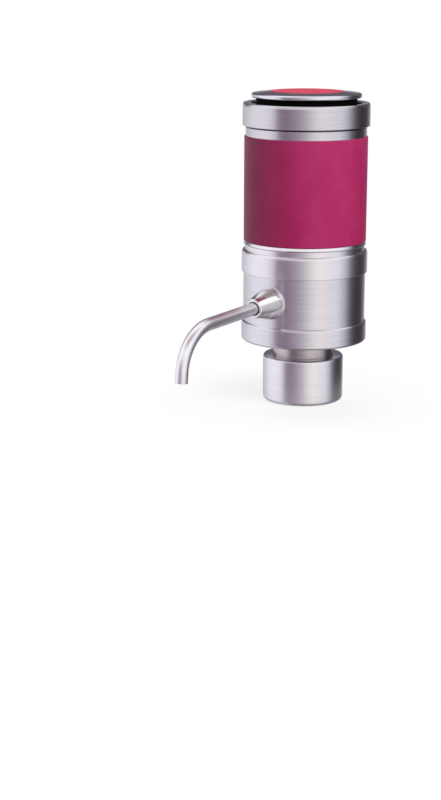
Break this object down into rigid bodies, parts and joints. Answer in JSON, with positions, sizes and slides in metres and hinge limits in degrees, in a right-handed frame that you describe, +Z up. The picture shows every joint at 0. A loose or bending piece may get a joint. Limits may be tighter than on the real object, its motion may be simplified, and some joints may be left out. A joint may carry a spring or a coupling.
{
  "type": "electric wine aerator",
  "caption": "Battery aerator and pourer that pushes onto a bottle's mouth: steel body with a magenta grip, push button on top and a bent side spout.",
  "frame": {"origin": "centre of the collar's lower rim, on the body's axis, where the bottle's mouth enters", "axes": "+Z up the body's axis towards the button, -Y the way the spout points, +X to the right of the spout seen from in front"},
  "size_m": [0.062, 0.1351, 0.1527],
  "materials": {
    "brushed_steel": "satin, brushed round the axis",
    "polished_steel": "polished",
    "spout_steel": "satin polished",
    "magenta_sleeve": "satin",
    "magenta_inlay": "satin",
    "black_plastic": "matt",
    "grey_plastic": "matt",
    "black_rubber": "matt",
    "silicone": "satin",
    "brass": "satin",
    "copper": "satin",
    "magnet": "matt",
    "motor_steel": "satin",
    "screw_steel": "polished",
    "cell_jacket": "gloss",
    "board": "satin",
    "red_lead": "satin",
    "black_lead": "satin"
  },
  "bodies": {
    "lower_unit": {"collar_shell": "brushed_steel", "collar_liner": "black_rubber", "bottle_gasket": "silicone", "collar_nut": "brass", "adaptor_neck": "brushed_steel", "neck_nut": "brass", "lower_housing": "brushed_steel", "coupling_ring": "brushed_steel", "manifold": "grey_plastic", "air_valve": "black_rubber", "air_hose": "silicone", "spout_ferrule": "polished_steel", "spout_seal": "black_rubber", "pump_head": "grey_plastic", "pump_valves": "black_rubber", "valve_plate": "grey_plastic", "diaphragm": "black_rubber", "crankcase": "black_plastic", "pump_screws": "screw_steel", "chassis_plate": "black_plastic", "chassis_screws": "screw_steel", "motor_can": "motor_steel", "motor_end_cap": "black_plastic", "motor_magnets": "magnet", "motor_bushes": "brass", "motor_screws": "screw_steel", "cell_carrier": "black_plastic", "cell_1": "cell_jacket", "cell_2": "cell_jacket", "cell_3": "cell_jacket", "cell_4": "cell_jacket", "cell_5": "cell_jacket", "cell_6": "cell_jacket", "cell_springs": "screw_steel", "cell_contacts": "brass", "carrier_lid": "black_plastic", "contact_rings": "brass", "lid_screws": "screw_steel", "lead_red": "red_lead", "lead_black": "black_lead"},
    "spout": {"spout_tube": "spout_steel"},
    "rotor": {"motor_armature": "copper", "motor_shaft": "motor_steel", "crank_hub": "black_plastic", "crank_pin": "motor_steel"},
    "wobble": {"wobble_plate": "grey_plastic"},
    "upper_shell": {"grip_barrel": "black_plastic", "grip_sleeve": "magenta_sleeve", "top_bezel": "brushed_steel", "top_deck": "black_plastic", "deck_screws": "screw_steel", "contact_pins": "brass", "switch_board": "board", "push_switch": "black_plastic", "button_spring": "screw_steel"},
    "switch_pin": {"switch_plunger": "grey_plastic"},
    "button": {"button_plunger": "black_plastic", "button_cap": "brushed_steel", "button_inlay": "magenta_inlay"}
  },
  "joints": [
    {"name": "shell_lift", "type": "slide", "parent": "lower_unit", "child": "upper_shell", "axis": [0, 0, 1], "range_m": [0, 0.06]},
    {"name": "button_press", "type": "slide", "parent": "upper_shell", "child": "button", "axis": [0, 0, -1], "range_m": [0, 0.0016], "stiffness_N_per_m": 800, "springref_m": -0.003, "deforming": ["button_spring"]},
    {"name": "switch_press", "type": "slide", "parent": "upper_shell", "child": "switch_pin", "axis": [0, 0, -1], "range_m": [0, 0.0016]},
    {"name": "spout_turn", "type": "hinge", "parent": "lower_unit", "child": "spout", "pos_m": [0, -0.0301, 0.05275], "axis": [0, -0.999, -0.0436], "continuous": true},
    {"name": "rotor_spin", "type": "hinge", "parent": "lower_unit", "child": "rotor", "pos_m": [0, 0, 0.0855], "axis": [0, 0, 1], "continuous": true},
    {"name": "wobble_nod", "type": "hinge", "parent": "rotor", "child": "wobble", "pos_m": [0, 0, 0.0855], "axis": [0.1564, 0, 0.9877], "continuous": true}
  ],
  "couplings": [
    {"joint": "switch_press", "follows": "button_press", "ratio": 1},
    {"joint": "wobble_nod", "follows": "rotor_spin", "ratio": -1}
  ]
}
